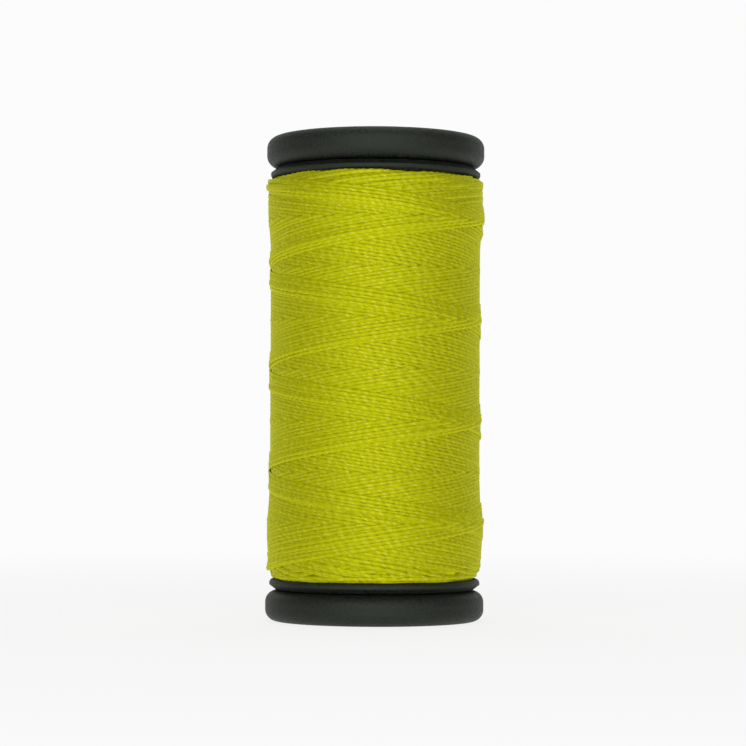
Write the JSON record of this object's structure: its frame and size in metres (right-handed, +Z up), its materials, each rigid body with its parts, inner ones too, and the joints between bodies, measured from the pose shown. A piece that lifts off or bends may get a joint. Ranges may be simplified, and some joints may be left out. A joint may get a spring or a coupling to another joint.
{
  "type": "spool of thread",
  "caption": "Spool of sewing thread: a black plastic barrel with snap caps that pull out at each end, cross-wound with lime green thread.",
  "frame": {"origin": "centre of the plane that the spool stands on, at the lower cap's end face", "axes": "+Z up along the spool's axis, from the lower cap to the upper cap"},
  "size_m": [0.0248, 0.0248, 0.055],
  "materials": {
    "barrel_plastic": "satin moulded polystyrene, black with a faint green-grey cast",
    "cap_plastic": "satin moulded polystyrene, black with a faint green-grey cast",
    "thread": "lime green spun polyester sewing thread, soft sheen with fine fuzz",
    "label_paper": "uncoated white paper, blank apart from a plain coloured ring"
  },
  "bodies": {
    "lower_cap": {"lower_cap": "cap_plastic", "lower_label": "label_paper"},
    "barrel": {"spool_barrel": "barrel_plastic", "thread_winding": "thread"},
    "upper_cap": {"upper_cap": "cap_plastic", "upper_label": "label_paper"}
  },
  "joints": [
    {"name": "lower_cap_snap", "type": "slide", "parent": "lower_cap", "child": "barrel", "axis": [0, 0, 1], "range_m": [0, 0.0015]},
    {"name": "upper_cap_snap", "type": "slide", "parent": "barrel", "child": "upper_cap", "axis": [0, 0, 1], "range_m": [0, 0.0015]}
  ]
}
